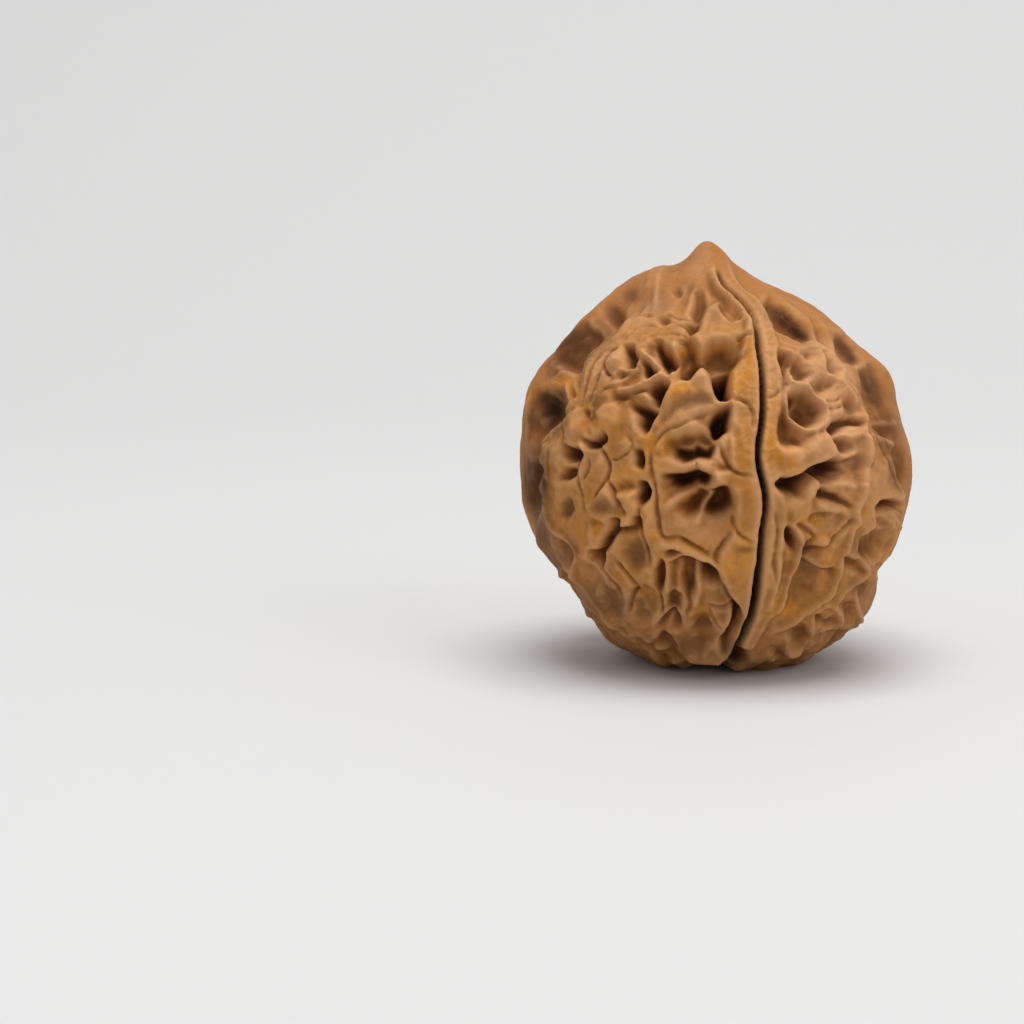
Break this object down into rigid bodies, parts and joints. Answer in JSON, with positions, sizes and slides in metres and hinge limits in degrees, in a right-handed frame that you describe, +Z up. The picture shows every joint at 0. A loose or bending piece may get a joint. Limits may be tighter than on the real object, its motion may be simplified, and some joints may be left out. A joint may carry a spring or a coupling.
{
  "type": "walnut",
  "caption": "Whole walnut in its shell: pointed tip, raised seam, deeply pitted and ribbed lobes, resting on a small flat base.",
  "frame": {"origin": "on the surface that the nut stands on, under the middle of its bounding box", "axes": "+Z up through the tip, -Y towards the face that the picture shows, with the seam a little to the +X side of it"},
  "size_m": [0.039, 0.0414, 0.0418],
  "materials": {
    "shell": "satin"
  },
  "bodies": {
    "root": {"walnut": "shell"}
  },
  "joints": []
}
